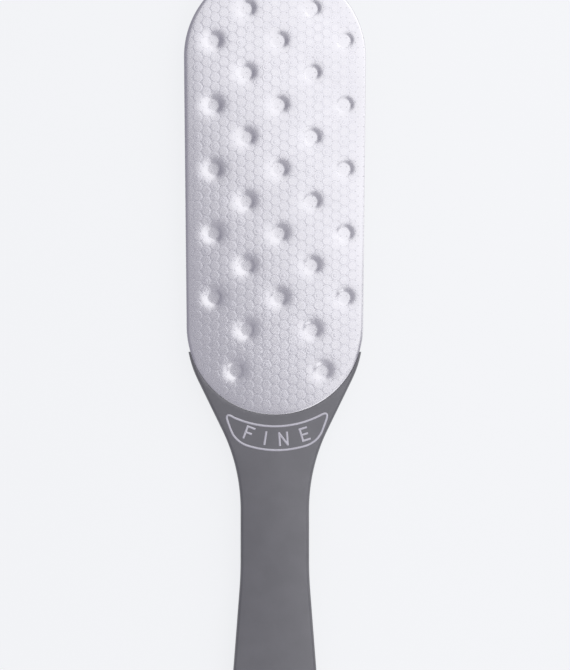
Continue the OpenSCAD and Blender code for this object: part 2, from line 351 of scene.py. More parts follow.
# %% [markdown]
# ## The grip's outline
# Seen from above, the grip starts as two horns beside the blade, turns round the shoulders, runs down
# a straight flank into the waist, widens slowly, and ends round. Arcs that touch each other give that
# line without a kink. The distance s counts from the blade's lower centre towards the butt.
# %% Grip outline
WAIST = 9.4
SHOULDER_R = 30.0
SHOULDER_S = 1.5
NECK_R = 50.0
FLANK = math.radians(26)
FLARE_S = 64.0
FLARE_R = 110.0
FLARE = math.radians(4.4)
HORN_S = 7.0
CUT_R = LOW_R + 0.04
GRIP_H = 4.2
BUTT_H = 3.7
GRIP_EDGE_R = 0.9
WALL = 1.6
ARC_SPACING = 0.4

fall = (SHOULDER_R + NECK_R) * (1 - math.cos(FLANK))
flank_length = (LOW_R - WAIST - fall) / math.sin(FLANK)
NECK_S = SHOULDER_S + (SHOULDER_R + NECK_R) * math.sin(FLANK) + flank_length * math.cos(FLANK)
flare_end = (WAIST + FLARE_R * (1 - math.cos(FLARE)), FLARE_S + FLARE_R * math.sin(FLARE))
BUTT_R = (flare_end[0] * math.cos(FLARE) + (GRIP_REACH - flare_end[1]) * math.sin(FLARE)) / (
    1 + math.sin(FLARE)
)
BUTT_S = GRIP_REACH - BUTT_R


def bow(x, s, radius, start, end, spacing=0.5):
    """Points on an arc about (x, s), from the angle start to the angle end."""
    count = max(2, int(abs(end - start) * radius / spacing))
    turn = np.linspace(start, end, count + 1)
    return np.column_stack([x + radius * np.cos(turn), s + radius * np.sin(turn)])


def straight(a, b, spacing=0.5):
    count = max(2, int(np.linalg.norm(b - a) / spacing))
    return a + (b - a) * np.arange(1, count)[:, None] / count


def grip_side(d=0.0):
    """One side of the grip from horn to butt, moved inwards by d: rows of (x, s)."""
    start = math.asin((HORN_S - SHOULDER_S) / SHOULDER_R)
    shoulder = bow(LOW_R - SHOULDER_R, SHOULDER_S, SHOULDER_R - d, start, FLANK)
    neck = bow(WAIST + NECK_R, NECK_S, NECK_R + d, math.pi + FLANK, math.pi)
    flare = bow(WAIST + FLARE_R, FLARE_S, FLARE_R + d, math.pi, math.pi - FLARE)
    butt = bow(0, BUTT_S, BUTT_R - d, -FLARE, math.pi / 2)
    joined = [shoulder, neck, flare, butt]
    rows = [shoulder]
    for a, b in zip(joined, joined[1:]):
        rows += [straight(a[-1], b[0]), b]
    return np.vstack(rows)


def grip_loop():
    """The grip's closed outline in plan, anticlockwise: right side up, blade arc, left side down."""
    side = grip_side() * (1, -1)
    tip = math.asin(HORN_S / CUT_R)
    arc = bow(0, 0, CUT_R, -tip, -math.pi + tip, ARC_SPACING)
    return np.vstack([side[::-1], arc, side[:-1] * (-1, 1)])


grip_outline = grip_loop()
print("grip outline of", len(grip_outline), "points, waist", round(2 * WAIST, 1), "mm, butt radius",
      round(BUTT_R, 2), "mm")


# %% [markdown]
# ## The grip's half shells
# Lengthwise the shell starts flush with the sheet's face, swells to its middle and falls a little to
# the butt. Across, its face is a low crown that ends in a small rounded edge, so it looks nearly flat
# from above, with one dark or bright line along each side. The two halves meet on the middle plane in
# a fine groove. Each half is hollow, with a tube round the hanging hole.
# %% Heights of the grip
SWELL_S = LOW_R + 2.4
FALL_S = FLARE_S + 0.4 * (BUTT_S - FLARE_S)
ARC_EDGE_R = 0.12
HOLE_R = 3.0
HOLE_EDGE_R = 0.5
TUBE_R = 4.8
SEAM = 0.12
HORN_CROWN = 0.30
MORE_CROWN = 0.22


def ease(t):
    """A smooth rise from 0 to 1."""
    return (1 - np.cos(math.pi * np.clip(t, 0, 1))) / 2


def spine_height(s):
    rise = (GRIP_H - FACE_H) * ease((s - SWELL_S) / (FLARE_S - SWELL_S))
    return FACE_H + rise - (GRIP_H - BUTT_H) * ease((s - FALL_S) / (BUTT_S - FALL_S))


def crown_rise(s):
    return HORN_CROWN + MORE_CROWN * ease((s - SWELL_S) / (FLARE_S - SWELL_S))


side_line = grip_side()
CHUNK = 2000


def half_width(s):
    return np.interp(s, side_line[:, 1], side_line[:, 0])


def edge_gap(plan):
    """Distance of each point from the grip's sides."""
    spots = np.abs(plan)
    gap = np.zeros(len(plan))
    steps = np.diff(side_line, axis=0)
    lengths = (steps**2).sum(axis=1)
    for chunk in np.array_split(np.arange(len(plan)), max(1, len(plan) // CHUNK)):
        away = spots[chunk][:, None, :] - side_line[None, :-1, :]
        share = np.clip((away * steps).sum(axis=2) / lengths, 0, 1)
        gap[chunk] = np.linalg.norm(away - share[..., None] * steps, axis=2).min(axis=1)
    return gap


def grip_height(plan):
    """Height of the grip's face over the middle plane."""
    s = -plan[:, 1]
    station = np.minimum(s, BUTT_S)
    from_hole = np.hypot(plan[:, 0], s - BUTT_S)
    reach = np.where(s < BUTT_S, np.abs(plan[:, 0]) / half_width(s), from_hole / BUTT_R)
    height = spine_height(station) - crown_rise(station) * np.clip(reach, 0, 1) ** 2
    height -= rounding(edge_gap(plan), GRIP_EDGE_R)
    height -= rounding(np.maximum(np.hypot(*plan.T) - CUT_R, 0), ARC_EDGE_R)
    return height - rounding(np.maximum(from_hole - HOLE_R, 0), HOLE_EDGE_R)


def circle_loop(radius, spacing=0.35):
    turn = np.linspace(0, 2 * math.pi, int(2 * math.pi * radius / spacing) + 1)[:-1]
    return np.column_stack([radius * np.cos(turn), radius * np.sin(turn) - BUTT_S])


print("grip", round(2 * float(spine_height(FLARE_S)), 2), "mm thick at its middle")


# %% Build a half shell
EDGE_TURNS = np.radians([12, 24, 36, 48, 60, 72, 84, 92])
ARC_SPAN = (-math.radians(17), -math.radians(163))
GRIP_LATTICE = 0.9
GRIP_HALF = 24
FLANK_SHARES = (0.33, 0.66)
GRIP_CLEAR = 0.4
HAIR = 0.012
HOLLOW_GAP = 1.0
LOW_ROOF = 1.2


def grip_points():
    """Points inside the grip's plan: rows along every edge, and a lattice between them."""
    rows = []
    for d in [GRIP_EDGE_R * (1 - math.cos(t)) for t in EDGE_TURNS]:
        side = grip_side(d) * (1, -1)
        rows += [side, side[:-1] * (-1, 1)]
    for d in [ARC_EDGE_R * (1 - math.cos(t)) for t in EDGE_TURNS[1::2]]:
        rows.append(bow(0, 0, CUT_R + d, *ARC_SPAN, ARC_SPACING))
    for d in [HOLE_EDGE_R * (1 - math.cos(t)) for t in EDGE_TURNS[1::2]]:
        rows.append(circle_loop(HOLE_R + d))
    x, y = np.meshgrid(np.arange(-GRIP_HALF, GRIP_HALF + 0.1, GRIP_LATTICE),
                       np.arange(-GRIP_REACH, 1 - HORN_S, GRIP_LATTICE))
    lattice = np.column_stack([x.ravel(), y.ravel()])
    lattice = lattice[edge_gap(lattice) > GRIP_EDGE_R + GRIP_CLEAR]
    lattice = lattice[np.hypot(*lattice.T) > CUT_R + ARC_EDGE_R + GRIP_CLEAR]
    from_hole = np.hypot(lattice[:, 0], lattice[:, 1] + BUTT_S)
    rows.append(lattice[from_hole > HOLE_R + HOLE_EDGE_R + GRIP_CLEAR])
    plan = np.vstack(rows)
    plan = plan[inside(plan, inset(grip_loop(), HAIR))]
    return plan[np.hypot(*plan.T) > CUT_R + HAIR / 2]


def hollow_loop():
    """Outline of the hollow: the sides moved inwards by the wall, closed beside the blade."""
    side = grip_side(WALL)
    side = side[np.hypot(*side.T) > CUT_R + HOLLOW_GAP] * (1, -1)
    reach = math.atan2(-side[0][1], side[0][0])
    arc = bow(0, 0, float(np.hypot(*side[0])), -reach, -math.pi + reach, 2 * ARC_SPACING)[1:-1]
    return np.vstack([side[::-1], arc, side[:-1] * (-1, 1)])


def build_shell(name):
    drawing = Drawing()
    loop = grip_loop()
    hole = circle_loop(HOLE_R)
    count = len(loop)
    plan, faces = fill([loop, hole], grip_points())
    face = drawing.cover(plan, grip_height(plan), faces)
    rim = grip_height(loop)
    rows = [(inset(loop, SEAM), 0.0), (inset(loop, SEAM / 3), SEAM / 3), (loop, SEAM)]
    rows += [(loop, SEAM + (rim - SEAM) * share) for share in FLANK_SHARES]
    starts = [drawing.add(*row) for row in rows]
    for a, b in zip(starts, starts[1:] + [face]):
        drawing.band(a, b, count)
    hollow = hollow_loop()
    tube = circle_loop(TUBE_R)
    nothing = np.zeros((0, 2))
    sill, sill_faces = fill([inset(loop, SEAM), hollow], nothing)
    drawing.cover(sill, 0.0, sill_faces, flip=True)
    roof, roof_faces = fill([hollow, tube], nothing)
    roof_h = np.maximum(LOW_ROOF, spine_height(-roof[:, 1]) - crown_rise(-roof[:, 1]) - WALL)
    lid = drawing.cover(roof, roof_h, roof_faces, flip=True)
    drawing.band(lid, drawing.add(hollow, 0.0), len(hollow))
    drawing.band(lid + len(hollow), drawing.add(tube, 0.0), len(tube))
    ring, ring_faces = fill([tube, hole], nothing)
    drawing.cover(ring, 0.0, ring_faces, flip=True)
    drawing.band(face + count, drawing.add(hole, 0.0), len(hole))
    return drawing.finish(name)


front_shell = build_shell("front_shell")
rear_shell = build_shell("rear_shell")


# %% [markdown]
# ## Building node trees
# Geometry trees and shader trees are wired by the same short helper: it adds a node, sets its
# properties, and feeds each input with a value or with another node's output. A second helper opens a
# node group: each input is given by its label and kind, mostly with a value, and each output too.
# %% Node helpers
def add_node(tree, kind, feeds=None, **settings):
    """Adds a node, sets its properties, and feeds its inputs with values or sockets."""
    made = tree.nodes.new(kind)
    for key, value in settings.items():
        setattr(made, key, value)
    for socket, feed in (feeds or {}).items():
        if isinstance(feed, bpy.types.NodeSocket):
            tree.links.new(feed, made.inputs[socket])
        else:
            made.inputs[socket].default_value = feed
    return made


def add_math(tree, operation, *values):
    return add_node(tree, "ShaderNodeMath", dict(enumerate(values)), operation=operation).outputs[0]


def open_tree(name, kind, inputs, outputs):
    """A node group with named inputs and outputs, and the sockets at its two ends."""
    tree = bpy.data.node_groups.new(name, kind + "NodeTree")
    for label, sort, *value in inputs:
        socket = tree.interface.new_socket(label, in_out="INPUT", socket_type="NodeSocket" + sort)
        if value:
            socket.default_value = value[0]
    for label, sort in outputs:
        tree.interface.new_socket(label, in_out="OUTPUT", socket_type="NodeSocket" + sort)
    return tree, tree.nodes.new("NodeGroupInput").outputs, tree.nodes.new("NodeGroupOutput").inputs


print("node helpers ready")


# %% [markdown]
# ## Shared surface effects
# Three small shader groups serve the materials. The grain is the fine tooth that etching or a textured
# mould leaves. The drift is the slow change of tone that no real surface is without. The honeycomb
# finds the small pits that the etching leaves where three rings meet: its points are two rectangular
# lattices laid into each other, and a pit is what lies farther than usual from every point of both.
# %% Shader groups
FINE_CELL = (2.36e-3, 2.72e-3)
COARSE_CELL = (3.3e-3, 3.8e-3)
PIT_FROM, PIT_FULL = 0.515, 0.56
# Painted shade in the etched pits: their colour is darkened to this share of the sheet's dark tone.
PIT_SHADE_TONE = 0.74
PIT_DEPTH = 0.00002
GRAIN_DEPTH = 0.00003
POCKS = 0.4
NOISE_LOW, NOISE_HIGH = 0.3, 0.7


def build_grain():
    tree, given, result = open_tree(
        "surface_grain", "Shader", [("Vector", "Vector"), ("Scale", "Float", 4000.0)],
        [("Height", "Float"), ("Share", "Float")])
    tooth = add_node(tree, "ShaderNodeTexNoise",
                     {"Vector": given["Vector"], "Scale": given["Scale"], "Detail": 3.0})
    pocks = add_node(tree, "ShaderNodeTexVoronoi",
                     {"Vector": given["Vector"], "Scale": given["Scale"]}, feature="SMOOTH_F1")
    both = add_math(tree, "ADD", tooth.outputs["Fac"],
                    add_math(tree, "MULTIPLY", pocks.outputs[0], POCKS))
    tree.links.new(both, result["Height"])
    tree.links.new(tooth.outputs["Fac"], result["Share"])
    return tree


def build_drift():
    tree, given, result = open_tree(
        "tone_drift", "Shader",
        [("Vector", "Vector"), ("Scale", "Float", 60.0), ("Dark", "Color", (0.5, 0.5, 0.5, 1)),
         ("Light", "Color", (0.6, 0.6, 0.6, 1))],
        [("Color", "Color")])
    cloud = add_node(tree, "ShaderNodeTexNoise",
                     {"Vector": given["Vector"], "Scale": given["Scale"], "Detail": 4.0})
    share = add_node(tree, "ShaderNodeMapRange", {0: cloud.outputs["Fac"], 1: NOISE_LOW, 2: NOISE_HIGH})
    tone = add_node(tree, "ShaderNodeMix",
                    {0: share.outputs[0], 6: given["Dark"], 7: given["Light"]}, data_type="RGBA")
    tree.links.new(tone.outputs[2], result["Color"])
    return tree


def build_honeycomb():
    tree, given, result = open_tree(
        "honeycomb", "Shader",
        [("Vector", "Vector"), ("Across", "Float", FINE_CELL[0]), ("Along", "Float", FINE_CELL[1])],
        [("Pit", "Float")])
    half = add_math(tree, "MULTIPLY", given["Along"], 0.5)
    corner = add_node(tree, "ShaderNodeCombineXYZ", {0: given["Across"], 1: half, 2: 1.0}).outputs[0]
    opposite = add_node(tree, "ShaderNodeVectorMath", {0: corner, "Scale": -1.0}, operation="SCALE")
    middle = (0, (LOW_Y + CENTRES / 2) * MM, 0)
    spot = add_node(tree, "ShaderNodeVectorMath", {0: given["Vector"], 1: middle}, operation="SUBTRACT")
    moved = add_node(tree, "ShaderNodeVectorMath", {0: spot.outputs[0], 1: corner}, operation="SUBTRACT")
    reaches = []
    for start in (spot, moved):
        near = add_node(tree, "ShaderNodeVectorMath",
                        {0: start.outputs[0], 1: corner, 2: opposite.outputs[0]}, operation="WRAP")
        flat = add_node(tree, "ShaderNodeVectorMath", {0: near.outputs[0], 1: (1, 1, 0)},
                        operation="MULTIPLY")
        reaches.append(add_node(tree, "ShaderNodeVectorMath", {0: flat.outputs[0]},
                                operation="LENGTH").outputs["Value"])
    share = add_math(tree, "DIVIDE", add_math(tree, "MINIMUM", *reaches), given["Along"])
    pit = add_node(tree, "ShaderNodeMapRange", {0: share, 1: PIT_FROM, 2: PIT_FULL},
                   interpolation_type="SMOOTHSTEP")
    tree.links.new(pit.outputs[0], result["Pit"])
    return tree


surface_grain = build_grain()
tone_drift = build_drift()
honeycomb = build_honeycomb()
print("shader groups:", surface_grain.name, tone_drift.name, honeycomb.name)


# %% [markdown]
# ## Materials
# The sheets are satin metal: fully metallic, so all their brightness is reflected light, with enough
# roughness that reflections blur into broad glows, and with small pits between their rings, which are
# sunk by a bump and also darkened in colour as painted shade. The grip is a satin plastic with a little
# pearl in it, so it is partly metallic, and its weak wide gloss lifts it towards the light. Every pattern
# reads object coordinates, in metres, so a scale of 4000 means a grain of a quarter of a millimetre.
# %% Material builder
def build_finish(name, dark, light, drift, grain, bump, rough, metallic=0.0, specular=0.5, cells=None):
    """A procedural finish: drifting colour, grain in its roughness, and a fine bump."""
    made = bpy.data.materials.new(name)
    made.use_nodes = True
    tree = made.node_tree
    shader = tree.nodes["Principled BSDF"]
    spot = add_node(tree, "ShaderNodeTexCoord").outputs["Object"]
    tone = add_node(tree, "ShaderNodeGroup", node_tree=tone_drift)
    tree.links.new(spot, tone.inputs["Vector"])
    tone.inputs["Scale"].default_value = drift
    tone.inputs["Dark"].default_value = (*dark, 1)
    tone.inputs["Light"].default_value = (*light, 1)
    tooth = add_node(tree, "ShaderNodeGroup", node_tree=surface_grain)
    tree.links.new(spot, tooth.inputs["Vector"])
    tooth.inputs["Scale"].default_value = grain
    satin = add_node(tree, "ShaderNodeMapRange",
                     {0: tooth.outputs["Share"], 1: NOISE_LOW, 2: NOISE_HIGH, 3: rough[0], 4: rough[1]})
    relief = add_node(tree, "ShaderNodeBump",
                      {"Strength": bump, "Distance": GRAIN_DEPTH, "Height": tooth.outputs["Height"]})
    colour, normal = tone.outputs["Color"], relief.outputs[0]
    # The pits are sunk by a real bump, and their colour is also darkened as painted shade.
    if cells:
        comb = add_node(tree, "ShaderNodeGroup", node_tree=honeycomb)
        tree.links.new(spot, comb.inputs["Vector"])
        comb.inputs["Across"].default_value, comb.inputs["Along"].default_value = cells
        pit = comb.outputs["Pit"]
        low = (*(PIT_SHADE_TONE * tone_part for tone_part in dark), 1)
        colour = add_node(tree, "ShaderNodeMix", {0: pit, 6: colour, 7: low}, data_type="RGBA").outputs[2]
        normal = add_node(tree, "ShaderNodeBump", {"Strength": 0.5, "Distance": PIT_DEPTH, "Height": pit,
                                                   "Normal": normal}, invert=True).outputs[0]
    tree.links.new(colour, shader.inputs["Base Color"])
    tree.links.new(satin.outputs[0], shader.inputs["Roughness"])
    tree.links.new(normal, shader.inputs["Normal"])
    shader.inputs["Metallic"].default_value = metallic
    shader.inputs["Specular IOR Level"].default_value = specular
    return made


print("material builder ready")


# %% The seven finishes
LOOKS = {
    "fine_metal": dict(dark=(0.795, 0.79, 0.80), light=(0.845, 0.84, 0.85), drift=70, grain=5000,
                       bump=0.25, rough=(0.23, 0.30), metallic=1.0, cells=FINE_CELL),
    "coarse_metal": dict(dark=(0.70, 0.695, 0.74), light=(0.77, 0.765, 0.81), drift=70, grain=3500,
                         bump=0.35, rough=(0.26, 0.34), metallic=1.0, cells=COARSE_CELL),
    "ring_metal": dict(dark=(0.75, 0.745, 0.77), light=(0.82, 0.815, 0.84), drift=300, grain=6000,
                       bump=0.2, rough=(0.26, 0.34), metallic=1.0),
    "grip_satin": dict(dark=(0.193, 0.193, 0.199), light=(0.210, 0.210, 0.217), drift=180, grain=3600,
                       bump=0.35, rough=(0.34, 0.42), metallic=0.35, specular=1.0),
    "core_satin": dict(dark=(0.12, 0.12, 0.125), light=(0.15, 0.15, 0.158), drift=150, grain=3000,
                       bump=0.3, rough=(0.45, 0.6)),
    "glue_film": dict(dark=(0.62, 0.60, 0.52), light=(0.70, 0.68, 0.60), drift=400, grain=2500,
                      bump=0.2, rough=(0.35, 0.5)),
    "badge_ink": dict(dark=(0.68, 0.67, 0.71), light=(0.74, 0.73, 0.77), drift=600, grain=5000,
                      bump=0.15, rough=(0.45, 0.55)),
}
finishes = {name: build_finish(name, **look) for name, look in LOOKS.items()}
print(len(finishes), "finishes")


# %% [markdown]
# ## Raised rings on the sheets
# The abrasive is a field of fine raised rings, etched in a honeycomb over the whole face, dimples and
# all, up to a narrow plain border. That is work for Geometry Nodes: a lattice of points, a low ring on
# each, and a ray from each of the ring's points down to the sheet, so that the rings bend with the
# dimples. Rings are left out in the middle of each dimple, which the punch has pressed smooth. The
# border and this clearance are in millimetres, like the distances that are stored on the sheets.
# %% Laying points on a surface
RAY_FROM = 0.05


def cast_down(tree, surface, label=None):
    """A ray from above each point down to the surface, which can read a stored value there."""
    spot = add_node(tree, "GeometryNodeInputPosition").outputs[0]
    above = add_node(tree, "ShaderNodeVectorMath", {0: spot, 1: (0, 0, RAY_FROM)}, operation="ADD")
    feeds = {"Target Geometry": surface, "Source Position": above.outputs[0],
             "Ray Direction": (0, 0, -1), "Ray Length": 2 * RAY_FROM}
    if label:
        named = add_node(tree, "GeometryNodeInputNamedAttribute", {"Name": label}, data_type="FLOAT")
        feeds["Attribute"] = named.outputs[0]
    return add_node(tree, "GeometryNodeRaycast", feeds, data_type="FLOAT").outputs


def lay_down(tree, surface):
    """Each point's place on the surface, raised by the point's own height."""
    spot = add_node(tree, "GeometryNodeInputPosition").outputs[0]
    own = add_node(tree, "ShaderNodeSeparateXYZ", {0: spot}).outputs[2]
    lift = add_node(tree, "ShaderNodeCombineXYZ", {2: own}).outputs[0]
    below = cast_down(tree, surface)["Hit Position"]
    return add_node(tree, "ShaderNodeVectorMath", {0: below, 1: lift}, operation="ADD").outputs[0]


def close_tree(tree, geometry, finish, result):
    """Ends a geometry tree: its instances made real, its finish, and its output."""
    solid = add_node(tree, "GeometryNodeRealizeInstances", {"Geometry": geometry})
    dressed = add_node(tree, "GeometryNodeSetMaterial",
                       {"Geometry": solid.outputs[0], "Material": finish})
    tree.links.new(dressed.outputs[0], result["Geometry"])
    return tree


print("ray and closing helpers ready")


# %% Ring field tree
LATTICE_COUNT = (25, 49)
RING_SIZES = (0.96, 1.04)
FULL_TURN = 6.28


def build_ring_tree():
    tree, given, result = open_tree(
        "ring_field", "Geometry",
        [("Geometry", "Geometry"), ("Sheet", "Object"), ("Across pitch", "Float", FINE_CELL[0]),
         ("Along pitch", "Float", FINE_CELL[1]), ("Radius", "Float", 1.1e-3),
         ("Line width", "Float", 0.34e-3), ("Line height", "Float", 0.014e-3),
         ("Border", "Float", 1.5), ("Cup clearance", "Float", 2.6), ("Inner radius", "Float", 0.4e-3),
         ("Inner share", "Float", 0.2), ("Seed", "Int", 7), ("Finish", "Material")],
        [("Geometry", "Geometry")])
    sheet = add_node(tree, "GeometryNodeObjectInfo", {"Object": given["Sheet"]}).outputs["Geometry"]

    across, along = LATTICE_COUNT
    grid = add_node(tree, "GeometryNodeMeshGrid", {
        "Size X": add_math(tree, "MULTIPLY", given["Across pitch"], across - 1.0),
        "Size Y": add_math(tree, "MULTIPLY", given["Along pitch"], along - 1.0),
        "Vertices X": across, "Vertices Y": along})
    index = add_node(tree, "GeometryNodeInputIndex").outputs[0]
    column = add_math(tree, "FLOOR", add_math(tree, "DIVIDE", index, float(along)))
    odd = add_math(tree, "MODULO", column, 2.0)
    lift = add_math(tree, "MULTIPLY_ADD", odd, add_math(tree, "MULTIPLY", given["Along pitch"], 0.5),
                    (LOW_Y + CENTRES / 2) * MM)
    stagger = add_node(tree, "ShaderNodeCombineXYZ", {1: lift})
    lattice = add_node(tree, "GeometryNodeSetPosition",
                       {"Geometry": grid.outputs["Mesh"], "Offset": stagger.outputs[0]})

    rim = cast_down(tree, sheet, "rim_gap")
    cup = cast_down(tree, sheet, "cup_gap")
    far_in = add_math(tree, "GREATER_THAN", rim["Attribute"], given["Border"])
    clear = add_math(tree, "GREATER_THAN", cup["Attribute"], given["Cup clearance"])
    kept = add_math(tree, "MULTIPLY", add_math(tree, "MULTIPLY", far_in, clear), rim["Is Hit"])
    bare = add_math(tree, "SUBTRACT", 1.0, kept)
    points = add_node(tree, "GeometryNodeDeleteGeometry",
                      {"Geometry": lattice.outputs[0], "Selection": bare}, domain="POINT")

    def low_ring(radius, sides):
        path = add_node(tree, "GeometryNodeCurvePrimitiveCircle", {"Resolution": sides, "Radius": radius})
        half = add_math(tree, "MULTIPLY", given["Line width"], 0.5)
        edge = add_node(tree, "GeometryNodeCurvePrimitiveCircle", {"Resolution": 3, "Radius": half})
        swept = add_node(tree, "GeometryNodeCurveToMesh",
                         {"Curve": path.outputs[0], "Profile Curve": edge.outputs[0]})
        squash = add_node(tree, "ShaderNodeCombineXYZ", {
            0: 1.0, 1: 1.0, 2: add_math(tree, "DIVIDE", given["Line height"], half)})
        return add_node(tree, "GeometryNodeTransform",
                        {"Geometry": swept.outputs[0], "Scale": squash.outputs[0]}).outputs[0]

    def scatter(ring, share, seed_shift):
        seed = add_math(tree, "ADD", given["Seed"], float(seed_shift))
        turn = add_node(tree, "FunctionNodeRandomValue",
                        {0: (0, 0, 0), 1: (0, 0, FULL_TURN), "Seed": seed}, data_type="FLOAT_VECTOR")
        size = add_node(tree, "FunctionNodeRandomValue",
                        {2: RING_SIZES[0], 3: RING_SIZES[1], "Seed": seed}, data_type="FLOAT")
        pick = add_node(tree, "FunctionNodeRandomValue", {"Probability": share, "Seed": seed},
                        data_type="BOOLEAN")
        return add_node(tree, "GeometryNodeInstanceOnPoints", {
            "Points": points.outputs[0], "Instance": ring, "Rotation": turn.outputs[0],
            "Scale": size.outputs[1], "Selection": pick.outputs[3]}).outputs[0]

    outer = scatter(low_ring(given["Radius"], sides=16), share=1.0, seed_shift=0)
    inner = scatter(low_ring(given["Inner radius"], sides=8), share=given["Inner share"], seed_shift=3)
    both = add_node(tree, "GeometryNodeJoinGeometry")
    tree.links.new(outer, both.inputs[0])
    tree.links.new(inner, both.inputs[0])
    loose = add_node(tree, "GeometryNodeRealizeInstances", {"Geometry": both.outputs[0]})
    laid = lay_down(tree, sheet)
    rest = add_node(tree, "GeometryNodeSetPosition", {"Geometry": loose.outputs[0], "Position": laid})
    crisp = add_node(tree, "GeometryNodeSetShadeSmooth",
                     {"Geometry": rest.outputs[0], "Shade Smooth": False})
    return close_tree(tree, crisp.outputs[0], given["Finish"], result)


def grow(name, tree, settings, source=None):
    """Runs a geometry tree and keeps its result as a plain mesh."""
    holder = bpy.data.objects.new(name, source or bpy.data.meshes.new(name + "_seed"))
    bpy.context.scene.collection.objects.link(holder)
    modifier = holder.modifiers.new("tree", "NODES")
    modifier.node_group = tree
    sockets = {s.name: s.identifier for s in tree.interface.items_tree if s.in_out == "INPUT"}
    for label, value in settings.items():
        modifier[sockets[label]] = value
    graph = bpy.context.evaluated_depsgraph_get()
    mesh = bpy.data.meshes.new_from_object(holder.evaluated_get(graph), depsgraph=graph)
    holder.modifiers.clear()
    holder.data = mesh
    mesh.name = name
    print(name, len(mesh.polygons), "faces")
    return holder


ring_tree = build_ring_tree()
fine_rings = grow("fine_rings", ring_tree, {"Sheet": fine_sheet, "Finish": finishes["ring_metal"]})

coarse_rings = grow("coarse_rings", ring_tree, {
    "Sheet": coarse_sheet, "Finish": finishes["ring_metal"], "Across pitch": COARSE_CELL[0],
    "Along pitch": COARSE_CELL[1], "Radius": 1.45e-3, "Line width": 0.42e-3, "Line height": 0.1e-3,
    "Border": 2.3, "Cup clearance": 1.6, "Inner radius": 0.55e-3, "Inner share": 0.6, "Seed": 11})


# %% [markdown]
# ## The printed badge
# A thin line of pale ink frames the grade of this side, close under the blade and bent with its edge.
# Print has next to no height, so it is a narrow flat ribbon along each line, laid on the shell by the
# same kind of ray that lays the rings. The letters are plain strokes of one width, each with a lean of
# its own along the curve.
# %% Letters as strokes
LETTERS = {
    "F": [[(0, -0.07), (0, 1)], [(-0.08, 1), (0.68, 1)], [(0, 0.5), (0.55, 0.5)]],
    "I": [[(0, -0.07), (0, 1.08)]],
    "N": [[(0, -0.07), (0, 1.08)], [(0.65, -0.07), (0.65, 1.08)], [(0, 1), (0.65, 0)]],
    "E": [[(0, 0), (0, 1)], [(-0.08, 1), (0.64, 1)], [(0, 0.5), (0.58, 0.5)], [(-0.08, 0), (0.66, 0)]],
}
LETTER_CENTRE = (0.69, -10.88)
LETTER_R = 21.7
LETTER_H = 3.3


def set_letter(letter, at, tilt):
    """A letter's strokes, with its left foot at one angle of the lettering's arc, and its own tilt."""
    at, tilt = math.radians(at), math.radians(tilt)
    foot = np.array(LETTER_CENTRE) + LETTER_R * np.array([math.sin(at), -math.cos(at)])
    across = LETTER_H * np.array([math.cos(tilt), math.sin(tilt)])
    up = LETTER_H * np.array([-math.sin(tilt), math.cos(tilt)])
    return [np.array([foot + x * across + y * up for x, y in stroke]) for stroke in LETTERS[letter]]


word = []
for letter, at, tilt in (("F", -25.3, -20.5), ("I", -9.4, -8.6), ("N", 1.9, 4.2), ("E", 19.0, 17.0)):
    word += set_letter(letter, at, tilt)
print(len(word), "strokes")

# %% Frame of the badge
BADGE_CORNERS = np.array([(-13.9, -23.3), (15.1, -22.9), (12.0, -31.35), (-11.1, -31.2)])
CORNER_REACH = (2.9, 2.9, 3.2, 3.2)
BADGE_TOP_R = 27.4
BADGE_LOW_R = 26.93
BADGE_LOW_CENTRE = (0.55, -6.99)
BADGE_SPACING = 0.3
SIDE_POINTS = 60
CORNER_POINTS = 14
LAYER_STEP = 0.002


def badge_arc(centre, radius, a, b):
    turns = [math.atan2(p[1] - centre[1], p[0] - centre[0]) for p in (a, b)]
    return bow(*centre, radius, *turns, BADGE_SPACING)


def round_corner(a, corner, b):
    """A parabola from the point a to the point b that touches both legs of a corner."""
    t = np.linspace(0, 1, CORNER_POINTS)[1:-1, None]
    return (1 - t) ** 2 * a + 2 * t * (1 - t) * corner + t**2 * b


def badge_frame():
    """The badge's outline: two arcs and two slanting sides, with soft corners."""
    a, b, c, d = BADGE_CORNERS
    sides = [badge_arc((0, 0), BADGE_TOP_R, a, b), np.linspace(b, c, SIDE_POINTS),
             badge_arc(BADGE_LOW_CENTRE, BADGE_LOW_R, c, d), np.linspace(d, a, SIDE_POINTS)]
    kept = []
    for i, side in enumerate(sides):
        after = (i + 1) % 4
        clear = np.linalg.norm(side - BADGE_CORNERS[i], axis=1) > CORNER_REACH[i]
        clear &= np.linalg.norm(side - BADGE_CORNERS[after], axis=1) > CORNER_REACH[after]
        kept.append(side[clear])
    loop = []
    for i, side in enumerate(kept):
        after = (i + 1) % 4
        loop += [side, round_corner(side[-1], BADGE_CORNERS[after], kept[after][0])]
    return np.vstack(loop)


def lines_mesh(name, strokes, closed=False):
    """A mesh of bare edges along the strokes, each a hair above the one before it."""
    spots, edges = [], []
    for layer, stroke in enumerate(strokes):
        first = len(spots)
        spots += [(x * MM, (y + LOW_Y) * MM, LAYER_STEP * layer * MM) for x, y in stroke]
        edges += [(first + i, first + i + 1) for i in range(len(stroke) - 1)]
        if closed:
            edges.append((len(spots) - 1, first))
    mesh = bpy.data.meshes.new(name)
    mesh.from_pydata(spots, edges, [])
    return mesh


print("badge frame of", len(badge_frame()), "points")


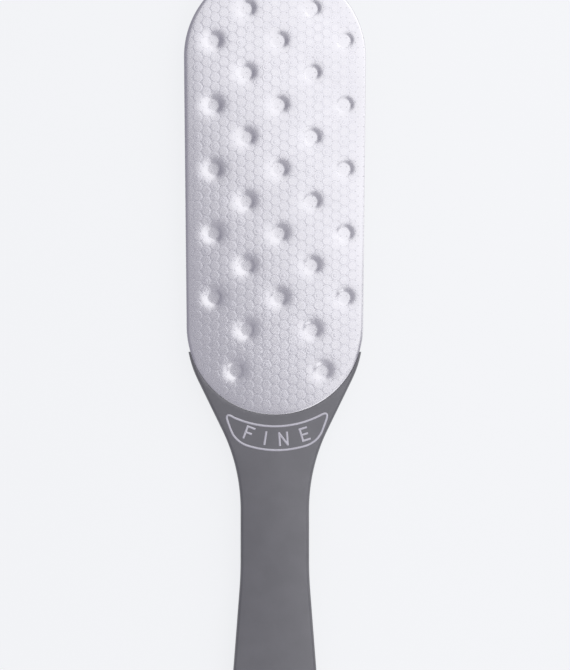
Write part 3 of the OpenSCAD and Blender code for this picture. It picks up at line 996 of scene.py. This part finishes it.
# %% Printed line tree
def build_line_tree():
    tree, given, result = open_tree(
        "printed_line", "Geometry",
        [("Geometry", "Geometry"), ("Shell", "Object"), ("Line width", "Float", 0.56e-3),
         ("Line height", "Float", 0.05e-3), ("Finish", "Material")],
        [("Geometry", "Geometry")])
    shell = add_node(tree, "GeometryNodeObjectInfo", {"Object": given["Shell"]}).outputs["Geometry"]
    path = add_node(tree, "GeometryNodeMeshToCurve", {"Mesh": given["Geometry"]})
    dense = add_node(tree, "GeometryNodeResampleCurve", {"Curve": path.outputs[0], "Length": 0.4e-3},
                     mode="LENGTH")
    level = add_node(tree, "GeometryNodeSetCurveNormal", {"Curve": dense.outputs[0]}, mode="Z_UP")
    across = add_node(tree, "GeometryNodeCurvePrimitiveQuadrilateral",
                      {"Width": given["Line width"], "Height": given["Line height"]})
    swept = add_node(tree, "GeometryNodeCurveToMesh", {
        "Curve": level.outputs[0], "Profile Curve": across.outputs[0], "Fill Caps": True})
    laid = lay_down(tree, shell)
    rest = add_node(tree, "GeometryNodeSetPosition", {"Geometry": swept.outputs[0], "Position": laid})
    return close_tree(tree, rest.outputs[0], given["Finish"], result)


line_tree = build_line_tree()
ink = {"Shell": front_shell, "Finish": finishes["badge_ink"]}
badge_line = grow("badge_line", line_tree, ink, lines_mesh("badge_path", [badge_frame()], closed=True))
badge_word = grow("badge_word", line_tree, ink, lines_mesh("word_path", word))


# %% [markdown]
# ## The back
# The rear pieces were made facing the front, where a plan is easiest to think about. Half a turn about
# the file's long axis puts them in their place behind.
# %% Turn the rear pieces over
for piece in (rear_shell, coarse_sheet, coarse_rings):
    turn_over(piece)


# %% [markdown]
# ## Riding and finishes
# The file is one rigid body, so every piece rides on the root. A piece that is a finer copy of a CAD
# solid is shown in its place, and that CAD solid is hidden. The core and the glue films are the CAD
# solids themselves, in better materials.
# %% Dress the pieces
for piece, finish, slot, node in (
    (fine_sheet, "fine_metal", "fine_sheet", "fine_plate"),
    (coarse_sheet, "coarse_metal", "coarse_sheet", "coarse_plate"),
    (front_shell, "grip_satin", "grip_plastic", "front_grip"),
    (rear_shell, "grip_satin", "grip_plastic", "rear_grip"),
):
    piece.data.materials.append(finishes[finish])
    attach(piece, "root")
    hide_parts(node)
for piece, slot in ((fine_rings, "fine_sheet"), (coarse_rings, "coarse_sheet"),
                    (badge_line, "grip_plastic"), (badge_word, "grip_plastic")):
    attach(piece, "root")
for node, finish in (("core", "core_satin"), ("fine_adhesive", "glue_film"),
                     ("coarse_adhesive", "glue_film")):
    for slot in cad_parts[node].material_slots:
        slot.material = finishes[finish]
print("8 pieces on the root, 3 CAD solids in better materials")


# %% [markdown]
# ## Table and background
# The file lies on a pale board. What the camera and the metal see of the board is mostly its own pale
# tone, so it stays even and cool white, while a share of real diffuse shading keeps the soft shadow.
# %% Table
PALE = (0.950, 0.960, 0.980, 1)
SHADED_TONE = (0.86, 0.865, 0.875, 1)
OWN_TONE = 0.85
TABLE_HALF = 3.0


def build_board():
    made = bpy.data.materials.new("pale_board")
    made.use_nodes = True
    tree = made.node_tree
    tree.nodes.clear()
    shaded = add_node(tree, "ShaderNodeBsdfDiffuse", {0: SHADED_TONE})
    even = add_node(tree, "ShaderNodeEmission", {0: PALE, 1: 1.0})
    ray = tree.nodes.new("ShaderNodeLightPath").outputs
    seen = add_math(tree, "MAXIMUM", ray["Is Camera Ray"], ray["Is Glossy Ray"])
    share = add_math(tree, "MULTIPLY", seen, OWN_TONE)
    mixed = add_node(tree, "ShaderNodeMixShader", {0: share, 1: shaded.outputs[0], 2: even.outputs[0]})
    out = tree.nodes.new("ShaderNodeOutputMaterial")
    tree.links.new(mixed.outputs[0], out.inputs[0])
    return made


corners = [(-TABLE_HALF, -TABLE_HALF), (TABLE_HALF, -TABLE_HALF), (TABLE_HALF, TABLE_HALF),
           (-TABLE_HALF, TABLE_HALF)]
table_mesh = bpy.data.meshes.new("table_top")
table_mesh.from_pydata([(*corner, 0) for corner in corners], [], [(0, 1, 2, 3)])
table_mesh.materials.append(build_board())
table_top = bpy.data.objects.new("table_top", table_mesh)
bpy.context.scene.collection.objects.link(table_top)
print("table", 2 * TABLE_HALF, "m wide")


# %% [markdown]
# ## Light
# Satin metal shows its surroundings, so the lamps are laid out for what the sheet should mirror. One
# big softbox hangs to the right of the blade's far half, turned by 21 degrees, and its left edge makes
# the sheet fade from bright at the upper right to grey at the lower left. A faint fill hangs on the
# left, one lamp stands over the table to the right of the grip and one beyond its near end, and a low
# wall of light is aimed at the blade from far on the right. All else is a dim world, which only the
# camera sees as pale. Each lamp is given by its brightness, and its power follows from its area.
# %% Lamps
HANG = 0.3
AIM = Vector((0, 0.03, 0))
TURN = 21
DIM = (0.315, 0.306, 0.366, 1)


def softbox(name, place, size, brightness, turn=0.0, aimed=False):
    """A rectangular lamp that faces down, or is aimed at the blade, and that no camera sees."""
    data = bpy.data.lights.new(name, "AREA")
    data.shape = "RECTANGLE"
    data.size, data.size_y = size
    data.energy = math.pi * size[0] * size[1] * brightness
    lamp = bpy.data.objects.new(name, data)
    lamp.location = place
    lamp.rotation_euler = (0, 0, math.radians(turn))
    if aimed:
        lamp.rotation_euler = (AIM - Vector(place)).to_track_quat("-Z", "Y").to_euler()
    lamp.visible_camera = False
    bpy.context.scene.collection.objects.link(lamp)
    print(name, round(data.energy, 3), "W")


softbox("key_right", (0.119, 0.240, HANG), (0.387, 0.50), 0.82, turn=TURN)
softbox("left_fill", (-0.080, -0.05, HANG), (0.11, 0.32), 0.14, turn=TURN)
softbox("grip_side", (0.13, -0.17, HANG), (0.16, 0.20), 0.95)
softbox("near_end", (0.0, -0.33, HANG), (0.50, 0.20), 1.0)
softbox("right_wall", (0.535, 0.51, 0.34), (1.6, 0.50), 0.9, aimed=True)


def build_world():
    made = bpy.data.worlds.new("studio")
    made.use_nodes = True
    tree = made.node_tree
    dim = tree.nodes["Background"]
    dim.inputs[0].default_value = DIM
    pale = add_node(tree, "ShaderNodeBackground", {0: PALE, 1: 1.0})
    ray = tree.nodes.new("ShaderNodeLightPath").outputs
    mixed = add_node(tree, "ShaderNodeMixShader",
                     {0: ray["Is Camera Ray"], 1: dim.outputs[0], 2: pale.outputs[0]})
    tree.links.new(mixed.outputs[0], tree.nodes["World Output"].inputs[0])
    return made


bpy.context.scene.world = build_world()
bpy.context.scene.view_settings.view_transform = "Standard"
